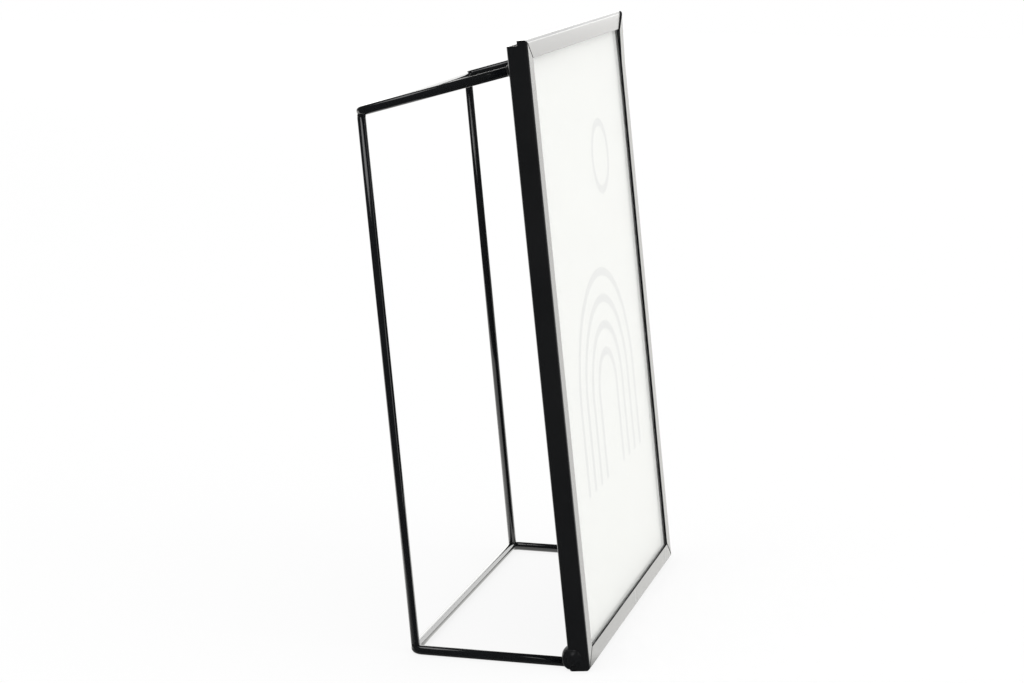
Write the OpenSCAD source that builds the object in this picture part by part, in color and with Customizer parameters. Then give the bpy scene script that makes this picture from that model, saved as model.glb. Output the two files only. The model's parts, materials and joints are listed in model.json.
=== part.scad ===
// Tabletop picture frame that floats in front of an open box of bent wire.
// Folded sheet-metal rails hold the glass. The print and the back panel slide in
// from the top, through a slot behind the glass.
// The front faces -Y and +Z is up. The origin is on the table, under the middle.

/* [Print] */
// Width of the print
print_w = 102; // [80:1:130]
// Height of the print
print_h = 152; // [110:1:180]
// Thickness of the print
print_t = 0.25; // [0.2:0.05:0.4]
// Room round the print inside the rails
print_slack = 1.8; // [0.8:0.1:2.5]

/* [Glass and back panel] */
// Thickness of the glass
glass_t = 2; // [1.6:0.1:2.4]
// Room round the glass inside the rails
glass_slack = 0.4; // [0.3:0.1:0.7]
// Thickness of the back panel
panel_t = 1.6; // [1:0.1:2]
// Room at each side of the back panel
panel_slack = 0.5; // [0.3:0.1:0.8]
// Radius of the thumb notch in the back panel's top edge
thumb_r = 8; // [6:0.5:12]
// Gap on each side of a piece that slides in the slot
slide_gap = 0.15; // [0.1:0.05:0.3]

/* [Rails] */
// Thickness of the sheet metal
sheet = 0.5; // [0.4:0.05:0.7]
// Outside radius of the folds in the sheet
fold_r = 0.8; // [0.8:0.1:1.4]
// Width of the lip in front of the glass
lip_w = 4.7; // [4.2:0.1:6.5]
// Width of the flange behind the back panel
flange_w = 5.2; // [4.6:0.1:7]
// Slit between two lips at a mitred corner
mitre_gap = 0.4; // [0.1:0.05:0.5]
// How much lower the side rails end behind the glass
slot_drop = 1.2; // [1:0.1:3]
// Angle at which the frame leans back
lean = 6; // [3:0.5:9]

/* [Wire stand] */
// Diameter of the wire in the two loops
wire_d = 2.4; // [2:0.1:2.8]
// Diameter of the wire in the uprights
upright_d = 2.2; // [1.8:0.1:2.6]
// Radius of the bends, measured to the wire's centre
wire_bend_r = 2.2; // [2:0.1:4]
// From the wire's surface to the inner edge of the flange
wire_edge = 0.4; // [0.2:0.1:0.8]
// Bottom loop's length from the frame to the centre of its cross wire
base_run = 41.2; // [30:0.2:55]
// From the top of the frame down to the top loop, along the frame
top_drop = 7.1; // [6:0.1:15]
// Angle at which the top loop falls to the rear
top_fall = 15.8; // [8:0.1:20]
// Angle at which the uprights lean back
upright_lean = 5.45; // [2:0.05:9]
// How far behind the middle of the loops' bends the uprights stand
upright_set = 0.3; // [0:0.05:0.5]
// Gap that the weld fills at each end of an upright
butt_gap = 0.25; // [0.2:0.05:0.4]

/* [Welds] */
// How far the welds on the top loop's ends stand out from the wire
joint_weld = 0.4; // [0.3:0.05:0.8]
// Radius of the small welds at the ends of the uprights
corner_weld_r = 1.05; // [0.85:0.05:1.3]
// Radius of the heavy welds at the foot of the frame
foot_weld_r = 3.2; // [2.8:0.1:3.4]
// From the wire's centre out to the middle of a foot weld
foot_weld_out = 1.5; // [1.2:0.1:1.8]
// From the middle of a foot weld to the frame's rear face
foot_weld_in = 1.35; // [1:0.05:1.8]
// Height of a foot weld's underside above the bottom rail's underside
foot_weld_lift = 0.05; // [0.05:0.05:0.3]

/* [Hidden] */

$fn = 64;
left = -1;
right = 1;
// Length by which cutters stand past what they cut
past = 1;
coat = [0.06, 0.06, 0.065];

// The frame, measured square: X across, Y from the front face back, Z up its height
frame_w = print_w + 2 * (print_slack + sheet);
frame_h = print_h + 2 * (print_slack + sheet);
slot_y = sheet + glass_t;
print_y = slot_y + slide_gap;
panel_y = print_y + print_t + slide_gap;
frame_depth = panel_y + panel_t + slide_gap + sheet;
slot_top = frame_h - slot_drop;
slot_floor = sheet + slide_gap;
mitre_reach = max(lip_w, flange_w) + past;

// The leaning frame rests on the fold along its lower rear edge
lift = (frame_depth - fold_r) * sin(lean) + fold_r * (1 - cos(lean));
function leaned_y(y, z) = y * cos(lean) + z * sin(lean);
function leaned_z(y, z) = lift - y * sin(lean) + z * cos(lean);

// The wire stand, measured from the frame's lower front edge
wire_r = wire_d / 2;
wire_x = frame_w / 2 - flange_w + wire_edge + wire_r;
corner_cut = wire_bend_r * (1 - cos(45));
upright_x = wire_x - corner_cut;
base_joint_up = (wire_r - lift + frame_depth * sin(lean)) / cos(lean);
base_joint_y = leaned_y(frame_depth, base_joint_up);
top_joint_y = leaned_y(frame_depth, frame_h - top_drop);
top_joint_z = leaned_z(frame_depth, frame_h - top_drop);
upright_y = base_joint_y + base_run - corner_cut + upright_set;

// An upright runs between the bends of the two loops
reach_y = upright_y - top_joint_y;
reach_z = top_joint_z - wire_r;
upright_span = (reach_z - reach_y * tan(top_fall))
    / (cos(upright_lean) + sin(upright_lean) * tan(top_fall));
top_run = (reach_y + upright_span * sin(upright_lean)) / cos(top_fall) + corner_cut - upright_set;
upright_end = wire_r + butt_gap;

// The middle of the whole object, front to rear
front_y = fold_r * (cos(lean) + sin(lean) - 1);
rear_y = wire_r + max(top_joint_y + top_run * cos(top_fall), base_joint_y + base_run);
middle_y = (front_y + rear_y) / 2;

// Places measured from the frame's lower front edge
module stand() {
    translate([0, -middle_y, 0]) children();
}

// Places measured on the square frame
module leaned() {
    stand() translate([0, 0, lift]) rotate([-lean, 0, 0]) children();
}

// Cross-section of a block with folded edges
module folded_section(width, depth, r) {
    translate([r - width / 2, 0]) square([width - 2 * r, depth]);
    translate([-width / 2, r]) square([width, depth - 2 * r]);
    for (side = [left, right], y = [r, depth - r])
        translate([side * (width / 2 - r), y]) circle(r);
}

// The frame as one full block
module frame_block() {
    translate([0, 0, frame_h / 2]) intersection() {
        linear_extrude(frame_h, center = true) folded_section(frame_w, frame_depth, fold_r);
        rotate([0, -90, 0]) linear_extrude(frame_w, center = true)
            folded_section(frame_h, frame_depth, fold_r);
    }
}

// Section of a lip and its fold: X from the rail's front face back, Y from its outer face in
module lip_section(width) {
    translate([0, fold_r]) square([sheet, width - fold_r]);
    translate([fold_r, fold_r]) intersection() {
        difference() {
            circle(fold_r);
            circle(fold_r - sheet);
        }
        translate([-fold_r, -fold_r]) square(fold_r);
    }
}

// Section of the top rail, which ends at the back of the glass
module angle_section() {
    lip_section(lip_w);
    translate([fold_r, 0]) square([slot_y - fold_r, sheet]);
}

// Section of the other rails, which also reach behind the back panel
module channel_section() {
    lip_section(lip_w);
    translate([fold_r, 0]) square([frame_depth - 2 * fold_r, sheet]);
    translate([frame_depth, 0]) mirror([1, 0]) lip_section(flange_w);
}

// Slit along the mitre at the lower left corner of the lips
module mitre_slit() {
    translate([-frame_w / 2, 0, 0]) rotate([0, -45, 0])
        translate([fold_r * sqrt(2), -past, -mitre_gap / 2])
            cube([mitre_reach * sqrt(2), sheet + 2 * past, mitre_gap]);
}

// Cuts a rail along the mitre at the frame's lower left corner, down to a depth.
// tip is the cutter's third corner, on the side of the mitre that is cut off.
module mitre_cut(tip, depth) {
    outer = -frame_w / 2;
    translate([0, depth, 0]) rotate([90, 0, 0]) linear_extrude(depth + past)
        polygon([[outer - past, -past], tip, [outer + mitre_reach, mitre_reach]]);
    mitre_slit();
}

// A rail along the bottom of the frame, of the section given
module level_rail() {
    tip = [-frame_w / 2 - past, mitre_reach];
    difference() {
        rotate([90, 0, 90]) linear_extrude(frame_w, center = true) children();
        mitre_cut(tip, frame_depth + past);
        mirror([1, 0, 0]) mitre_cut(tip, frame_depth + past);
    }
}

module top_rail() {
    color(coat) leaned() translate([0, 0, frame_h]) mirror([0, 0, 1]) level_rail() angle_section();
}

module bottom_rail() {
    color(coat) leaned() level_rail() channel_section();
}

// A channel up the side of the frame, mitred to the top rail as far back as that reaches
module side_rail(side) {
    tip = [mitre_reach - frame_w / 2, -past];
    color(coat) leaned() mirror([side == right ? 1 : 0, 0, 0]) difference() {
        translate([-frame_w / 2, 0, 0]) linear_extrude(frame_h) mirror([1, -1]) channel_section();
        mitre_cut(tip, frame_depth + past);
        translate([0, 0, frame_h]) mirror([0, 0, 1]) mitre_cut(tip, slot_y);
        translate([-frame_w / 2 - past, slot_y, slot_top])
            cube([mitre_reach + past, frame_depth, slot_drop + past]);
    }
}

module glass_pane() {
    room = sheet + glass_slack;
    color([0.8, 0.9, 0.9, 0.4]) leaned() translate([room - frame_w / 2, sheet, room])
        cube([frame_w - 2 * room, glass_t, frame_h - 2 * room]);
}

module print_insert() {
    color("ivory") leaned() translate([-print_w / 2, print_y, slot_floor])
        cube([print_w, print_t, print_h]);
}

module back_panel() {
    panel_w = frame_w - 2 * (sheet + panel_slack);
    color([0.12, 0.11, 0.1]) leaned() translate([0, panel_y, 0]) difference() {
        translate([-panel_w / 2, 0, slot_floor]) cube([panel_w, panel_t, slot_top - slot_floor]);
        translate([0, -past, slot_top]) rotate([-90, 0, 0]) cylinder(r = thumb_r, h = panel_t + 2 * past);
    }
}

// Wire bent to a U that lies in the XY plane and opens towards -Y
module wire_loop(run) {
    straight = run - wire_bend_r;
    bend_x = wire_x - wire_bend_r;
    for (side = [left, right]) {
        translate([side * wire_x, -frame_depth / 2, 0]) rotate([-90, 0, 0])
            cylinder(d = wire_d, h = straight + frame_depth / 2);
        translate([side * bend_x, straight, 0]) rotate(side == left ? 90 : 0)
            rotate_extrude(angle = 90) translate([wire_bend_r, 0]) circle(d = wire_d);
    }
    translate([-bend_x, run, 0]) rotate([0, 90, 0]) cylinder(d = wire_d, h = 2 * bend_x);
}

// Everything in front of the plane of the frame's rear face
module ahead_of_rear_face() {
    leaned() translate([-frame_w, -frame_depth, -frame_h / 2]) cube([2 * frame_w, 2 * frame_depth, 2 * frame_h]);
}

// The whole wire of each loop, before its ends are cut to the frame
module top_wire() {
    stand() translate([0, top_joint_y, top_joint_z]) rotate([-top_fall, 0, 0]) wire_loop(top_run);
}

module bottom_wire() {
    stand() translate([0, base_joint_y, wire_r]) wire_loop(base_run);
}

module top_loop() {
    color(coat) difference() {
        top_wire();
        ahead_of_rear_face();
    }
}

module bottom_loop() {
    color(coat) difference() {
        bottom_wire();
        ahead_of_rear_face();
    }
}

// Places on an upright's own axis, measured up from the bottom loop's wire
module upright_axis(side) {
    stand() translate([side * upright_x, upright_y, wire_r]) rotate([-upright_lean, 0, 0]) children();
}

module upright(side) {
    color(coat) upright_axis(side) translate([0, 0, upright_end])
        cylinder(d = upright_d, h = upright_span - 2 * upright_end);
}

// Collar of weld round the end of the top loop
module joint_weld_bead(side) {
    color(coat) difference() {
        stand() translate([side * wire_x, top_joint_y, top_joint_z]) sphere(wire_r + joint_weld);
        ahead_of_rear_face();
        top_wire();
    }
}

// Lump of weld that wraps the frame's lower rear corner and the bottom loop's end
module foot_weld_bead(side) {
    color(coat) difference() {
        leaned() translate([
            side * (wire_x + foot_weld_out), frame_depth - foot_weld_in, foot_weld_r + foot_weld_lift
        ]) sphere(foot_weld_r);
        leaned() frame_block();
        bottom_wire();
    }
}

module upper_corner_weld_bead(side) {
    color(coat) difference() {
        upright_axis(side) translate([0, 0, upright_span - wire_r]) sphere(corner_weld_r);
        top_wire();
        upright(side);
    }
}

module lower_corner_weld_bead(side) {
    color(coat) difference() {
        upright_axis(side) translate([0, 0, wire_r]) sphere(corner_weld_r);
        bottom_wire();
        upright(side);
    }
}

top_rail();
bottom_rail();
side_rail(left);  // left_rail
side_rail(right);  // right_rail
glass_pane();
print_insert();
back_panel();
top_loop();
bottom_loop();
upright(left);  // left_upright
upright(right);  // right_upright
joint_weld_bead(left);  // left_joint_weld
joint_weld_bead(right);  // right_joint_weld
foot_weld_bead(left);  // left_foot_weld
foot_weld_bead(right);  // right_foot_weld
upper_corner_weld_bead(left);  // left_upper_corner_weld
upper_corner_weld_bead(right);  // right_upper_corner_weld
lower_corner_weld_bead(left);  // left_lower_corner_weld
lower_corner_weld_bead(right);  // right_lower_corner_weld
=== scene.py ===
import json
import math

import bmesh
import bpy
from mathutils import Matrix, Vector, noise


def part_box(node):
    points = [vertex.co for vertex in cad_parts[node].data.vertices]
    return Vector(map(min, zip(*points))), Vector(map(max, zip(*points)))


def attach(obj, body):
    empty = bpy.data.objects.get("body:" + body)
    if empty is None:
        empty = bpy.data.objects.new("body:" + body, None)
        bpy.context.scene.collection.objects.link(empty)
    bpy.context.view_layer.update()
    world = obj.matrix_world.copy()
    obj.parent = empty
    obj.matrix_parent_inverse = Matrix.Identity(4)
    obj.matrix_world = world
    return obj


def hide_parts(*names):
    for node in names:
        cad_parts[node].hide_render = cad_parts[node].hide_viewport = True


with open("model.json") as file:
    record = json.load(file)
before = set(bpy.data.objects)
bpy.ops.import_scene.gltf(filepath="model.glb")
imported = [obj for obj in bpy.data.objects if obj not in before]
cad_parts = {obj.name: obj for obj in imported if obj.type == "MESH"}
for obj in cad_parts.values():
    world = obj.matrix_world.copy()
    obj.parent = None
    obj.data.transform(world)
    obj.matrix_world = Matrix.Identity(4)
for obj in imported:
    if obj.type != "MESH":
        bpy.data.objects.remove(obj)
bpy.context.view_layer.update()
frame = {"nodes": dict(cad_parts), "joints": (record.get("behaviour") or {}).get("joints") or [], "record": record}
nodes = frame["nodes"]
record = frame["record"]
scene = bpy.context.scene
scene.view_settings.view_transform = "Standard"
mm = 0.001
print("frame loaded:", len(nodes), "nodes")


# camera

cameraSet = {
    "place": (-0.63965, -0.16258, 0.20365),
    "azimuth": -75.46,
    "elevation": 11.27,
    "focalPx": 2533.0,  # focal length in pixels of the 1024 wide picture
    "pictureWidthPx": 1024,
    "sensor": 36.0,
    "clipStart": 0.01,
}


def addCamera(s):
    az = math.radians(s["azimuth"])
    el = math.radians(s["elevation"])
    aim = Vector((-math.sin(az) * math.cos(el), math.cos(az) * math.cos(el), -math.sin(el)))
    data = bpy.data.cameras.new("camera")
    data.sensor_fit = "HORIZONTAL"
    data.sensor_width = s["sensor"]
    data.lens = s["focalPx"] * s["sensor"] / s["pictureWidthPx"]
    data.clip_start = s["clipStart"]
    camera = bpy.data.objects.new("camera", data)
    camera.location = s["place"]
    camera.rotation_euler = aim.to_track_quat("-Z", "Y").to_euler()
    scene.collection.objects.link(camera)
    scene.camera = camera


addCamera(cameraSet)
print("camera placed")


# node helpers

def newMaterial(name):
    mat = bpy.data.materials.new(name)
    mat.use_nodes = True
    tree = mat.node_tree
    return mat, tree, tree.nodes["Principled BSDF"]


def addNode(tree, kind, **values):
    node = tree.nodes.new(kind)
    for key, value in values.items():
        setattr(node, key, value)
    return node


def setInputs(node, **values):
    for key, value in values.items():
        node.inputs[key.replace("_", " ")].default_value = value
    return node


def newGroup(name, inputs, outputs):
    tree = bpy.data.node_groups.new(name, "ShaderNodeTree")
    for label, value in inputs.items():
        socket = tree.interface.new_socket(label, in_out="INPUT", socket_type="NodeSocketFloat")
        socket.default_value = value
    for label in outputs:
        tree.interface.new_socket(label, in_out="OUTPUT", socket_type="NodeSocketFloat")
    return tree, tree.nodes.new("NodeGroupInput"), tree.nodes.new("NodeGroupOutput")


def useGroup(tree, group, **values):
    node = tree.nodes.new("ShaderNodeGroup")
    node.node_tree = group
    return setInputs(node, **values)


def addBlend(tree, low, high):
    blend = addNode(tree, "ShaderNodeMix", data_type="RGBA")
    blend.inputs["A"].default_value = (*low, 1.0)
    blend.inputs["B"].default_value = (*high, 1.0)
    return blend


# depth that a bump of full strength stands for, on coats and on paper
grainDepth = 0.2 * mm

grainSet = {
    "inputs": {"Peel Scale": 1500.0, "Drift Scale": 60.0},
    "peel": {"Detail": 2.0, "Roughness": 0.45},
    "drift": {"Detail": 3.0, "Roughness": 0.6},
    "dots": {"Scale": 130.0},
    "specks": {"From_Min": 0.02, "From_Max": 0.035, "To_Min": 1.0, "To_Max": 0.0},
}


# orange peel of baked powder, a slow drift in gloss, and a few specks of dust
def makeCoatGrain(s):
    tree, given, out = newGroup("coatGrain", s["inputs"], ("Peel", "Drift", "Specks"))
    place = addNode(tree, "ShaderNodeTexCoord")
    peel = setInputs(addNode(tree, "ShaderNodeTexNoise"), **s["peel"])
    drift = setInputs(addNode(tree, "ShaderNodeTexNoise"), **s["drift"])
    dots = setInputs(addNode(tree, "ShaderNodeTexVoronoi"), **s["dots"])
    specks = setInputs(addNode(tree, "ShaderNodeMapRange"), **s["specks"])
    for tex in (peel, drift, dots):
        tree.links.new(place.outputs["Object"], tex.inputs["Vector"])
    tree.links.new(given.outputs["Peel Scale"], peel.inputs["Scale"])
    tree.links.new(given.outputs["Drift Scale"], drift.inputs["Scale"])
    tree.links.new(dots.outputs["Distance"], specks.inputs["Value"])
    tree.links.new(peel.outputs["Fac"], out.inputs["Peel"])
    tree.links.new(drift.outputs["Fac"], out.inputs["Drift"])
    tree.links.new(specks.outputs["Result"], out.inputs["Specks"])
    return tree


coatGrain = makeCoatGrain(grainSet)

# what the blacks of the rails, the wire and the welds share, unless a coat says otherwise
blackBase = {
    "dark": (0.0033, 0.0038, 0.0048), "light": (0.0070, 0.0078, 0.0092), "speck": (0.05, 0.05, 0.05),
    "driftSpan": (0.3, 0.7), "ior": 1.45,
    "sheen": 0.0, "sheenRough": 0.3, "sheenTint": (1.0, 0.992, 0.95, 1.0),
}

blackCoats = {
    "railCoat": {"rough": (0.28, 0.38), "peel": 1700.0, "bump": 0.03, "ior": 1.5,
                 "coat": 0.9, "coatRough": 0.2, "sheen": 0.05},
    "lipCoat": {"rough": (0.25, 0.28), "peel": 1700.0, "bump": 0.002, "ior": 1.8,
                "coat": 1.0, "coatRough": 0.1, "sheen": 1.0, "sheenRough": 0.28},
    "foldCoat": {"rough": (0.36, 0.46), "peel": 1700.0, "bump": 0.03,
                 "coat": 0.7, "coatRough": 0.22},
    "wireCoat": {"speck": (0.04, 0.04, 0.04),
                 "rough": (0.10, 0.18), "peel": 2200.0, "bump": 0.03,
                 "coat": 1.0, "coatRough": 0.04},
    "cutEdge": {"light": (0.0078, 0.0087, 0.0102), "speck": (0.03, 0.03, 0.03),
                "rough": (0.55, 0.7), "peel": 2600.0, "bump": 0.2, "ior": 1.3,
                "coat": 0.0, "coatRough": 0.3},
    "weldCoat": {"light": (0.0086, 0.0096, 0.0112), "speck": (0.04, 0.04, 0.04),
                 "rough": (0.30, 0.44), "peel": 1300.0, "bump": 0.1,
                 "coat": 0.6, "coatRough": 0.24, "sheen": 0.12},
}


def makeBlackCoat(name, s):
    mat, tree, shader = newMaterial(name)
    grain = useGroup(tree, coatGrain, Peel_Scale=s["peel"])
    tone = addBlend(tree, s["dark"], s["light"])
    dusty = addBlend(tree, s["dark"], s["speck"])
    rough = setInputs(addNode(tree, "ShaderNodeMapRange"),
                      From_Min=s["driftSpan"][0], From_Max=s["driftSpan"][1],
                      To_Min=s["rough"][0], To_Max=s["rough"][1])
    bump = setInputs(addNode(tree, "ShaderNodeBump"), Strength=s["bump"], Distance=grainDepth)
    tree.links.new(grain.outputs["Drift"], tone.inputs["Factor"])
    tree.links.new(tone.outputs["Result"], dusty.inputs["A"])
    tree.links.new(grain.outputs["Specks"], dusty.inputs["Factor"])
    tree.links.new(dusty.outputs["Result"], shader.inputs["Base Color"])
    tree.links.new(grain.outputs["Drift"], rough.inputs["Value"])
    tree.links.new(rough.outputs["Result"], shader.inputs["Roughness"])
    tree.links.new(grain.outputs["Peel"], bump.inputs["Height"])
    tree.links.new(bump.outputs["Normal"], shader.inputs["Normal"])
    setInputs(shader, IOR=s["ior"], Coat_Weight=s["coat"], Coat_Roughness=s["coatRough"],
              Sheen_Weight=s["sheen"], Sheen_Roughness=s["sheenRough"], Sheen_Tint=s["sheenTint"])
    return mat


coats = {name: makeBlackCoat(name, {**blackBase, **s}) for name, s in blackCoats.items()}

glassSet = {"tint": (0.985, 0.995, 0.99, 1.0), "ior": 1.46}


# glass lets the light of lamps, floor and room through to the print
def makeGlass(s):
    mat, tree, shader = newMaterial("clearGlass")
    setInputs(shader, Base_Color=s["tint"], Roughness=0.0, IOR=s["ior"], Transmission_Weight=1.0)
    clear = addNode(tree, "ShaderNodeBsdfTransparent")
    path = addNode(tree, "ShaderNodeLightPath")
    through = addNode(tree, "ShaderNodeMath", operation="MAXIMUM")
    mix = addNode(tree, "ShaderNodeMixShader")
    tree.links.new(path.outputs["Is Shadow Ray"], through.inputs[0])
    tree.links.new(path.outputs["Is Diffuse Ray"], through.inputs[1])
    tree.links.new(through.outputs["Value"], mix.inputs["Fac"])
    tree.links.new(shader.outputs["BSDF"], mix.inputs[1])
    tree.links.new(clear.outputs["BSDF"], mix.inputs[2])
    tree.links.new(mix.outputs["Shader"], tree.nodes["Material Output"].inputs["Surface"])
    return mat


clearGlass = makeGlass(glassSet)

fibreSet = {
    "inputs": {"Scale": 900.0},
    "stretch": {"Scale": (1.0, 1.0, 0.35)},
    "threads": {"Detail": 4.0, "Roughness": 0.6, "Distortion": 0.6},
    "mottle": {"Scale": 140.0, "Detail": 3.0},
}


# fibres that paper, ink and board share
def makeFibre(s):
    tree, given, out = newGroup("fibre", s["inputs"], ("Height", "Mottle"))
    place = addNode(tree, "ShaderNodeTexCoord")
    stretch = setInputs(addNode(tree, "ShaderNodeMapping"), **s["stretch"])
    threads = setInputs(addNode(tree, "ShaderNodeTexNoise"), **s["threads"])
    mottle = setInputs(addNode(tree, "ShaderNodeTexNoise"), **s["mottle"])
    tree.links.new(place.outputs["Object"], stretch.inputs["Vector"])
    tree.links.new(stretch.outputs["Vector"], threads.inputs["Vector"])
    tree.links.new(place.outputs["Object"], mottle.inputs["Vector"])
    tree.links.new(given.outputs["Scale"], threads.inputs["Scale"])
    tree.links.new(threads.outputs["Fac"], out.inputs["Height"])
    tree.links.new(mottle.outputs["Fac"], out.inputs["Mottle"])
    return tree


fibre = makeFibre(fibreSet)

sheets = {
    "printPaper": {"dark": (0.90, 0.90, 0.875), "light": (0.94, 0.94, 0.915),
                   "rough": 0.62, "bump": 0.12, "scale": 2600.0},
    "printInk": {"dark": (0.72, 0.72, 0.715), "light": (0.77, 0.77, 0.765),
                 "rough": 0.6, "bump": 0.12, "scale": 2600.0},
    "boardFace": {"dark": (0.014, 0.013, 0.012), "light": (0.028, 0.026, 0.024),
                  "rough": 0.72, "bump": 0.35, "scale": 1100.0},
    "boardEdge": {"dark": (0.030, 0.020, 0.013), "light": (0.055, 0.038, 0.025),
                  "rough": 0.85, "bump": 0.5, "scale": 1500.0},
}


def makeSheet(name, s):
    mat, tree, shader = newMaterial(name)
    grain = useGroup(tree, fibre, Scale=s["scale"])
    tone = addBlend(tree, s["dark"], s["light"])
    bump = setInputs(addNode(tree, "ShaderNodeBump"), Strength=s["bump"], Distance=grainDepth)
    tree.links.new(grain.outputs["Mottle"], tone.inputs["Factor"])
    tree.links.new(tone.outputs["Result"], shader.inputs["Base Color"])
    tree.links.new(grain.outputs["Height"], bump.inputs["Height"])
    tree.links.new(bump.outputs["Normal"], shader.inputs["Normal"])
    setInputs(shader, Roughness=s["rough"])
    return mat


papers = {name: makeSheet(name, s) for name, s in sheets.items()}
print("materials made")


# pieces

bodyOf = {name: body for body, names in record["behaviour"]["bodies"].items() for name in names}
slideUp = Vector(frame["joints"][0]["axis"])
faceOut = Vector((0.0, -slideUp.z, slideUp.y))  # out of the picture's front

edgeSet = {
    "merge": 0.002 * mm,
    "flat": 1.0,  # degrees, below which faces count as one
    "sharp": 40.0,  # degrees, above which an edge is eased
    "flatWeight": 100,
}


def copyOfNode(name):
    bm = bmesh.new()
    bm.from_mesh(nodes[name].data)
    bmesh.ops.remove_doubles(bm, verts=bm.verts, dist=edgeSet["merge"])
    return bm


def addPiece(name, bm, materials, body):
    mesh = bpy.data.meshes.new(name)
    for face in bm.faces:
        face.smooth = True
    bm.to_mesh(mesh)
    bm.free()
    for material in materials:
        mesh.materials.append(material)
    piece = bpy.data.objects.new(name, mesh)
    scene.collection.objects.link(piece)
    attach(piece, body)
    return piece


def standIn(node, bm, materials):
    piece = addPiece(node + "_dressed", bm, materials, bodyOf[node])
    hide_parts(node)
    return piece


def easeEdges(bm, width, segments):
    flat = math.radians(edgeSet["flat"])
    sharp = math.radians(edgeSet["sharp"])
    bmesh.ops.dissolve_limit(bm, angle_limit=flat, verts=bm.verts, edges=bm.edges)
    edges = [e for e in bm.edges if len(e.link_faces) == 2 and e.calc_face_angle() > sharp]
    bmesh.ops.bevel(bm, geom=edges, offset=width, offset_type="OFFSET", segments=segments, profile=0.5,
                    affect="EDGES", clamp_overlap=True, material=-1)


# flat faces keep their own normals beside the eased edges
def keepFlats(piece):
    weighted = piece.modifiers.new("keepFlats", "WEIGHTED_NORMAL")
    weighted.weight = edgeSet["flatWeight"]
    weighted.keep_sharp = True


# rails of folded sheet, with their cut edges eased under the coat
railSet = {
    "names": ("top_rail", "bottom_rail", "left_rail", "right_rail"),
    "coats": ("railCoat", "lipCoat", "cutEdge", "foldCoat"),
    "ease": 0.06 * mm, "segments": 2, "lipDepth": 0.6 * mm,
    "sprung": "right_rail", "spring": 0.45 * mm, "springZone": 14.0 * mm,
    # how far a face of the lip has to look forwards, inwards, across a mitre or out of a fold
    "front": 0.97, "inward": 0.1, "mitre": 0.4, "edge": 0.5, "fold": 0.05, "foldSide": 0.2,
}


# one side rail's lip has sprung forward a little at its upper mitre, and shows the end of its sheet
def springLip(bm, front, s):
    start = max(v.co.dot(slideUp) for v in bm.verts) - s["springZone"]
    bmesh.ops.bisect_plane(bm, geom=bm.verts[:] + bm.edges[:] + bm.faces[:],
                           plane_co=slideUp * start, plane_no=slideUp)
    for v in bm.verts:
        rise = v.co.dot(slideUp) - start
        if rise > 0 and front - v.co.dot(faceOut) < s["lipDepth"]:
            v.co += faceOut * s["spring"] * rise / s["springZone"]


# the lip's front is wiped smooth, its cut edges have a thin dull coat, and its level folds a satin one
def markLip(bm, middle, front, s):
    for face in bm.faces:
        centre = face.calc_center_median()
        if front - centre.dot(faceOut) >= s["lipDepth"]:
            continue
        facing = face.normal.dot(faceOut)
        inward = face.normal.dot((middle - centre).normalized()) > s["inward"]
        mitred = min(abs(face.normal.x), abs(face.normal.z)) > s["mitre"]
        if facing > s["front"]:
            face.material_index = s["coats"].index("lipCoat")
        elif (inward or mitred) and abs(facing) < s["edge"]:
            face.material_index = s["coats"].index("cutEdge")
        elif facing > s["fold"] and abs(face.normal.x) < s["foldSide"]:
            face.material_index = s["coats"].index("foldCoat")


glassLow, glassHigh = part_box("glass_pane")
railBms = {name: copyOfNode(name) for name in railSet["names"]}
reaches = [v.co.dot(faceOut) for bm in railBms.values() for v in bm.verts]
frontReach = max(reaches)
rearReach = -min(reaches)
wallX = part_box("right_rail")[1].x
for name, bm in railBms.items():
    easeEdges(bm, railSet["ease"], railSet["segments"])
    if name == railSet["sprung"]:
        springLip(bm, frontReach, railSet)
    bm.normal_update()
    markLip(bm, (glassLow + glassHigh) / 2, frontReach, railSet)
    keepFlats(standIn(name, bm, [coats[coat] for coat in railSet["coats"]]))
print("rails dressed")


# wires
wireSet = {"names": ("top_loop", "bottom_loop", "left_upright", "right_upright"), "sharp": 50.0}

for name in wireSet["names"]:
    piece = standIn(name, copyOfNode(name), [coats["wireCoat"]])
    piece.data.set_sharp_from_angle(angle=math.radians(wireSet["sharp"]))
print("wires dressed")


# welds, melted into round lumps
weldSet = {
    "foot": {"names": ("left_foot_weld", "right_foot_weld"),
             "voxel": 0.12 * mm, "melt": 4, "swell": 0.06 * mm, "lump": 0.12 * mm, "lumpScale": 700.0,
             "radius": 3.2 * mm, "sink": 0.16 * mm, "feather": 2.7 * mm,
             "slump": 5.0, "steepest": 0.97, "touch": 0.05 * mm,
             "pit": (2.4 * mm, 0.0, -2.0 * mm), "pitReach": 0.6 * mm, "pitDepth": 0.35 * mm},
    "joint": {"names": ("left_joint_weld", "right_joint_weld"),
              "voxel": 0.05 * mm, "melt": 4, "swell": 0.05 * mm, "lump": 0.06 * mm, "lumpScale": 1500.0},
    "corner": {"names": ("left_upper_corner_weld", "right_upper_corner_weld",
                         "left_lower_corner_weld", "right_lower_corner_weld"),
               "voxel": 0.05 * mm, "melt": 3, "swell": 0.04 * mm, "lump": 0.06 * mm, "lumpScale": 1800.0},
}


# middle of the ball that a heavy weld was cut from, on the right side of the frame
def middleOfBall(name, radius):
    low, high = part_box(name)
    return Vector((max(-low.x, high.x) - radius, high.y - radius, low.z + radius))


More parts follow.
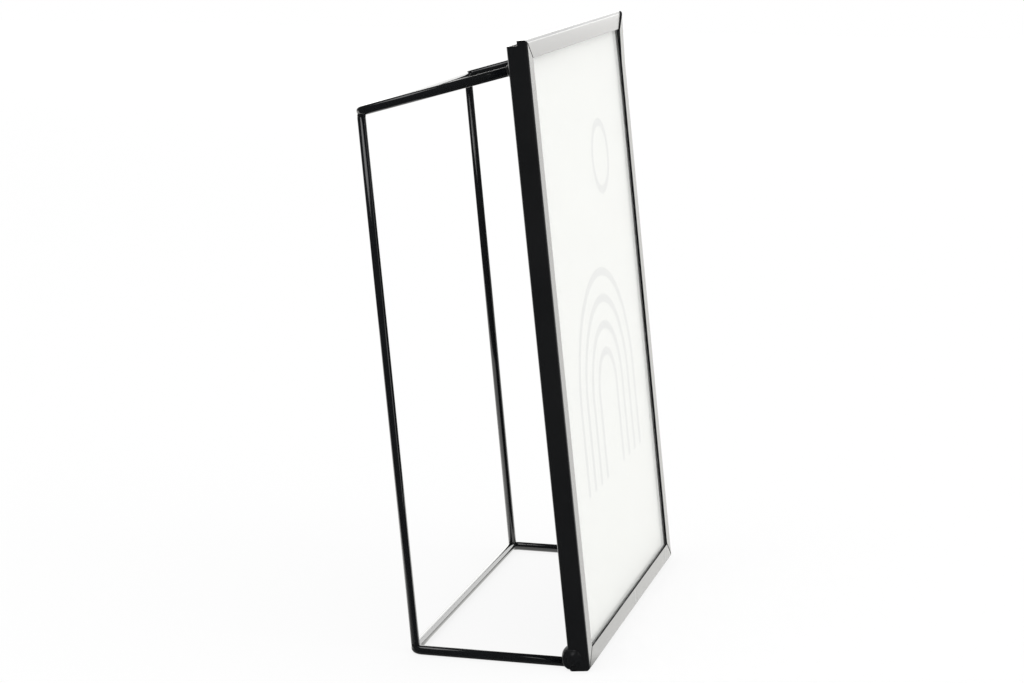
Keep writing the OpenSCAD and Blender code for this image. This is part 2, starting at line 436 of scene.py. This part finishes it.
# the lower half of a heavy weld spreads on the table, and its cap runs out smoothly on the side wall
def slumpWeld(bm, middle, s):
    crown = middle.x + s["radius"] - wallX + s["sink"]
    for v in bm.verts:
        if abs(v.co.x) > wallX:
            reach = math.hypot(v.co.y - middle.y, v.co.z - middle.z) / s["feather"]
            cap = crown * max(0.0, 1 - reach * reach) ** 2
            v.co.x = math.copysign(wallX - s["sink"] + cap, v.co.x)
        drop = min(s["steepest"], (middle.z - v.co.z) / s["radius"])
        rear = (rearReach + v.co.z * slideUp.y) / slideUp.z
        if drop > 0 and v.co.y > rear - s["touch"]:
            spread = (1 - drop ** s["slump"]) ** (1 / s["slump"]) / math.sqrt(1 - drop * drop)
            v.co.y = rear + (v.co.y - rear) * spread
            outward = abs(v.co.x) - middle.x
            if outward > 0:
                v.co.x = math.copysign(min(middle.x + outward * spread, wallX), v.co.x)


def pitDepthAt(place, middle, s):
    pit = middle + Vector(s["pit"])
    pit.x = math.copysign(pit.x, place.x)
    near = max(0.0, 1.0 - ((place - pit).length / s["pitReach"]) ** 2)
    return s["pitDepth"] * near * near


def remeshedNode(name, voxel):
    bm = copyOfNode(name)
    mesh = bpy.data.meshes.new("melting")
    bm.to_mesh(mesh)
    bm.free()
    work = bpy.data.objects.new("melting", mesh)
    scene.collection.objects.link(work)
    remesh = work.modifiers.new("remesh", "REMESH")
    remesh.mode = "VOXEL"
    remesh.voxel_size = voxel
    bm = bmesh.new()
    bm.from_mesh(work.evaluated_get(bpy.context.evaluated_depsgraph_get()).to_mesh())
    bpy.data.objects.remove(work)
    bpy.data.meshes.remove(mesh)
    return bm


def meltWeld(name, s):
    bm = remeshedNode(name, s["voxel"])
    for turn in range(s["melt"]):
        bmesh.ops.smooth_vert(bm, verts=bm.verts, factor=0.5,
                              use_axis_x=True, use_axis_y=True, use_axis_z=True)
    heavy = "slump" in s
    if heavy:
        middle = middleOfBall(name, s["radius"])
        slumpWeld(bm, middle, s)
    bm.normal_update()
    for v in bm.verts:
        rise = s["swell"] + s["lump"] * noise.noise(v.co * s["lumpScale"])
        if heavy:
            rise -= pitDepthAt(v.co, middle, s)
        v.co += v.normal * rise
    return bm


for s in weldSet.values():
    for name in s["names"]:
        standIn(name, meltWeld(name, s), [coats["weldCoat"]])
print("welds melted")


# glass, print and back panel; the board's second material goes on what looks less than "broad" to the front
flatSet = {
    "glass_pane": {"ease": 0.15 * mm, "segments": 2, "materials": [clearGlass]},
    "print_insert": {"ease": 0.03 * mm, "segments": 1, "materials": [papers["printPaper"]]},
    "back_panel": {"ease": 0.08 * mm, "segments": 1, "broad": 0.9,
                   "materials": [papers["boardFace"], papers["boardEdge"]]},
}

for name, s in flatSet.items():
    bm = copyOfNode(name)
    easeEdges(bm, s["ease"], s["segments"])
    bm.normal_update()
    if "broad" in s:
        for face in bm.faces:
            face.material_index = 0 if abs(face.normal.dot(faceOut)) > s["broad"] else 1
    keepFlats(standIn(name, bm, s["materials"]))
print("glass, print and panel dressed")


# line drawing on the print: nested arches under a ring
drawing = {
    "stroke": 2.2 * mm,
    "arches": (10.0 * mm, 17.0 * mm, 24.0 * mm, 31.0 * mm),
    "archSteps": 40,
    "archFoot": -38.0 * mm,
    "leg": 22.0 * mm,
    "ring": 9.0 * mm,
    "ringAt": (16.0 * mm, 44.0 * mm),
    "ringSteps": 64,
    "proud": 0.02 * mm,
    "sharp": 30.0,
    "level": 0.0001 * mm,
}


def addStroke(bm, centre, radius, width, degrees, steps):
    a = bm.verts.new((centre[0] + radius - width / 2, 0, centre[1]))
    b = bm.verts.new((centre[0] + radius + width / 2, 0, centre[1]))
    bmesh.ops.spin(bm, geom=[a, b, bm.edges.new((a, b))], cent=(centre[0], 0, centre[1]), axis=(0, -1, 0),
                   angle=math.radians(degrees), steps=steps, use_merge=degrees == 360)


# lays a drawing made upright at the origin on the front of the print
def layOnPrint(bm):
    depths = [v.co.y for v in bm.verts]
    bmesh.ops.translate(bm, verts=bm.verts, vec=(0, -(min(depths) + max(depths)) / 2, 0))
    low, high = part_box("print_insert")
    middle = (low + high) / 2
    front = max(v.co.dot(faceOut) for v in nodes["print_insert"].data.vertices)
    middle += faceOut * (front - middle.dot(faceOut))
    turn = Matrix((Vector((1, 0, 0)), -faceOut, slideUp)).transposed().to_4x4()
    bmesh.ops.transform(bm, matrix=Matrix.Translation(middle) @ turn, verts=bm.verts)


def drawArches(s):
    bm = bmesh.new()
    spring = s["archFoot"] + s["leg"]
    for radius in s["arches"]:
        addStroke(bm, (0, spring), radius, s["stroke"], 180, s["archSteps"])
    feet = [e for e in bm.edges
            if e.is_boundary and all(abs(v.co.z - spring) < s["level"] for v in e.verts)]
    made = bmesh.ops.extrude_edge_only(bm, edges=feet)["geom"]
    ends = [v for v in made if isinstance(v, bmesh.types.BMVert)]
    bmesh.ops.translate(bm, verts=ends, vec=(0, 0, -s["leg"]))
    addStroke(bm, s["ringAt"], s["ring"], s["stroke"], 360, s["ringSteps"])
    bmesh.ops.recalc_face_normals(bm, faces=bm.faces)
    bmesh.ops.solidify(bm, geom=bm.faces[:], thickness=2 * s["proud"])
    bmesh.ops.recalc_face_normals(bm, faces=bm.faces)
    layOnPrint(bm)
    return bm


piece = addPiece("print_drawing", drawArches(drawing), [papers["printInk"]], "print")
piece.data.set_sharp_from_angle(angle=math.radians(drawing["sharp"]))
print("print drawn")


# stage

plainWhite = (1.0, 1.0, 1.0, 1.0)

# reflections see a dark side towards the camera and a bright side behind the object
stageSet = {
    "size": 4.0, "drop": 0.02 * mm, "tone": 0.96, "rough": 0.9, "specular": 0.1,
    "white": 0.85,  # share of plain white that the eye sees in the floor
    "fill": 0.88,
    "bright": 1.0, "dark": 0.05, "tint": (1.0, 0.997, 0.975, 1.0),
    "floorEdge": (-0.052, -0.036), "skyEdge": (0.55, 0.85),
}


def linkSides(tree, coordinate, edge, s):
    place = addNode(tree, "ShaderNodeTexCoord")
    split = addNode(tree, "ShaderNodeSeparateXYZ")
    level = setInputs(addNode(tree, "ShaderNodeMapRange"), From_Min=edge[0], From_Max=edge[1],
                      To_Min=s["dark"], To_Max=s["bright"])
    tree.links.new(place.outputs[coordinate], split.inputs["Vector"])
    tree.links.new(split.outputs["X"], level.inputs["Value"])
    return level.outputs["Result"]


# the eye sees a share of white, reflections see the two sides, and other light sees the plain surface
def mixViews(tree, share, plain, white, mirrored, surface):
    path = addNode(tree, "ShaderNodeLightPath")
    eye = addNode(tree, "ShaderNodeMath", operation="MAXIMUM")
    seen = addNode(tree, "ShaderNodeMath", operation="MULTIPLY")
    eyeMix = addNode(tree, "ShaderNodeMixShader")
    glossMix = addNode(tree, "ShaderNodeMixShader")
    seen.inputs[1].default_value = share
    tree.links.new(path.outputs["Is Camera Ray"], eye.inputs[0])
    tree.links.new(path.outputs["Is Transmission Ray"], eye.inputs[1])
    tree.links.new(eye.outputs["Value"], seen.inputs[0])
    tree.links.new(seen.outputs["Value"], eyeMix.inputs["Fac"])
    tree.links.new(plain, eyeMix.inputs[1])
    tree.links.new(white, eyeMix.inputs[2])
    tree.links.new(path.outputs["Is Glossy Ray"], glossMix.inputs["Fac"])
    tree.links.new(eyeMix.outputs["Shader"], glossMix.inputs[1])
    tree.links.new(mirrored, glossMix.inputs[2])
    tree.links.new(glossMix.outputs["Shader"], surface)


def addFloor(s):
    bm = bmesh.new()
    bmesh.ops.create_grid(bm, x_segments=1, y_segments=1, size=s["size"] / 2)
    bmesh.ops.translate(bm, verts=bm.verts, vec=(0, 0, -s["drop"]))
    mesh = bpy.data.meshes.new("floor")
    bm.to_mesh(mesh)
    bm.free()
    mat, tree, shader = newMaterial("floorPaper")
    setInputs(shader, Base_Color=(s["tone"],) * 3 + (1.0,), Roughness=s["rough"],
              Specular_IOR_Level=s["specular"])
    white = setInputs(addNode(tree, "ShaderNodeEmission"), Color=plainWhite)
    mirrored = setInputs(addNode(tree, "ShaderNodeEmission"), Color=s["tint"])
    tree.links.new(linkSides(tree, "Object", s["floorEdge"], s), mirrored.inputs["Strength"])
    mixViews(tree, s["white"], shader.outputs["BSDF"], white.outputs["Emission"],
             mirrored.outputs["Emission"], tree.nodes["Material Output"].inputs["Surface"])
    mesh.materials.append(mat)
    floor = bpy.data.objects.new("floor", mesh)
    scene.collection.objects.link(floor)


def setWorld(s):
    world = bpy.data.worlds.new("studio")
    scene.world = world
    world.use_nodes = True
    tree = world.node_tree
    fill = setInputs(tree.nodes["Background"], Color=plainWhite, Strength=s["fill"])
    white = setInputs(addNode(tree, "ShaderNodeBackground"), Color=plainWhite)
    mirrored = setInputs(addNode(tree, "ShaderNodeBackground"), Color=s["tint"])
    tree.links.new(linkSides(tree, "Generated", s["skyEdge"], s), mirrored.inputs["Strength"])
    mixViews(tree, 1.0, fill.outputs["Background"], white.outputs["Background"],
             mirrored.outputs["Background"], tree.nodes["World Output"].inputs["Surface"])


addFloor(stageSet)
setWorld(stageSet)

lamps = {
    "overhead": {"place": (-0.45, 0.36, 1.4), "aim": (0.0, 0.0, 0.08), "size": (0.7, 0.7), "power": 2.8},
    "front": {"place": (-0.2, -1.7, 1.0), "aim": (0.0, 0.0, 0.08), "size": (1.2, 1.2), "power": 4.4},
    "rim": {"place": (2.2, -0.1, 0.55), "aim": (0.0, -0.1, 0.2), "size": (2.6, 0.9), "power": 9.2},
}


def addLamp(name, s):
    data = bpy.data.lights.new(name, "AREA")
    data.shape = "RECTANGLE"
    data.size, data.size_y = s["size"]
    data.energy = s["power"]
    lamp = bpy.data.objects.new(name, data)
    lamp.location = s["place"]
    lamp.rotation_euler = (Vector(s["aim"]) - Vector(s["place"])).to_track_quat("-Z", "Y").to_euler()
    lamp.visible_camera = False
    scene.collection.objects.link(lamp)


for name, s in lamps.items():
    addLamp(name, s)
print("stage lit")
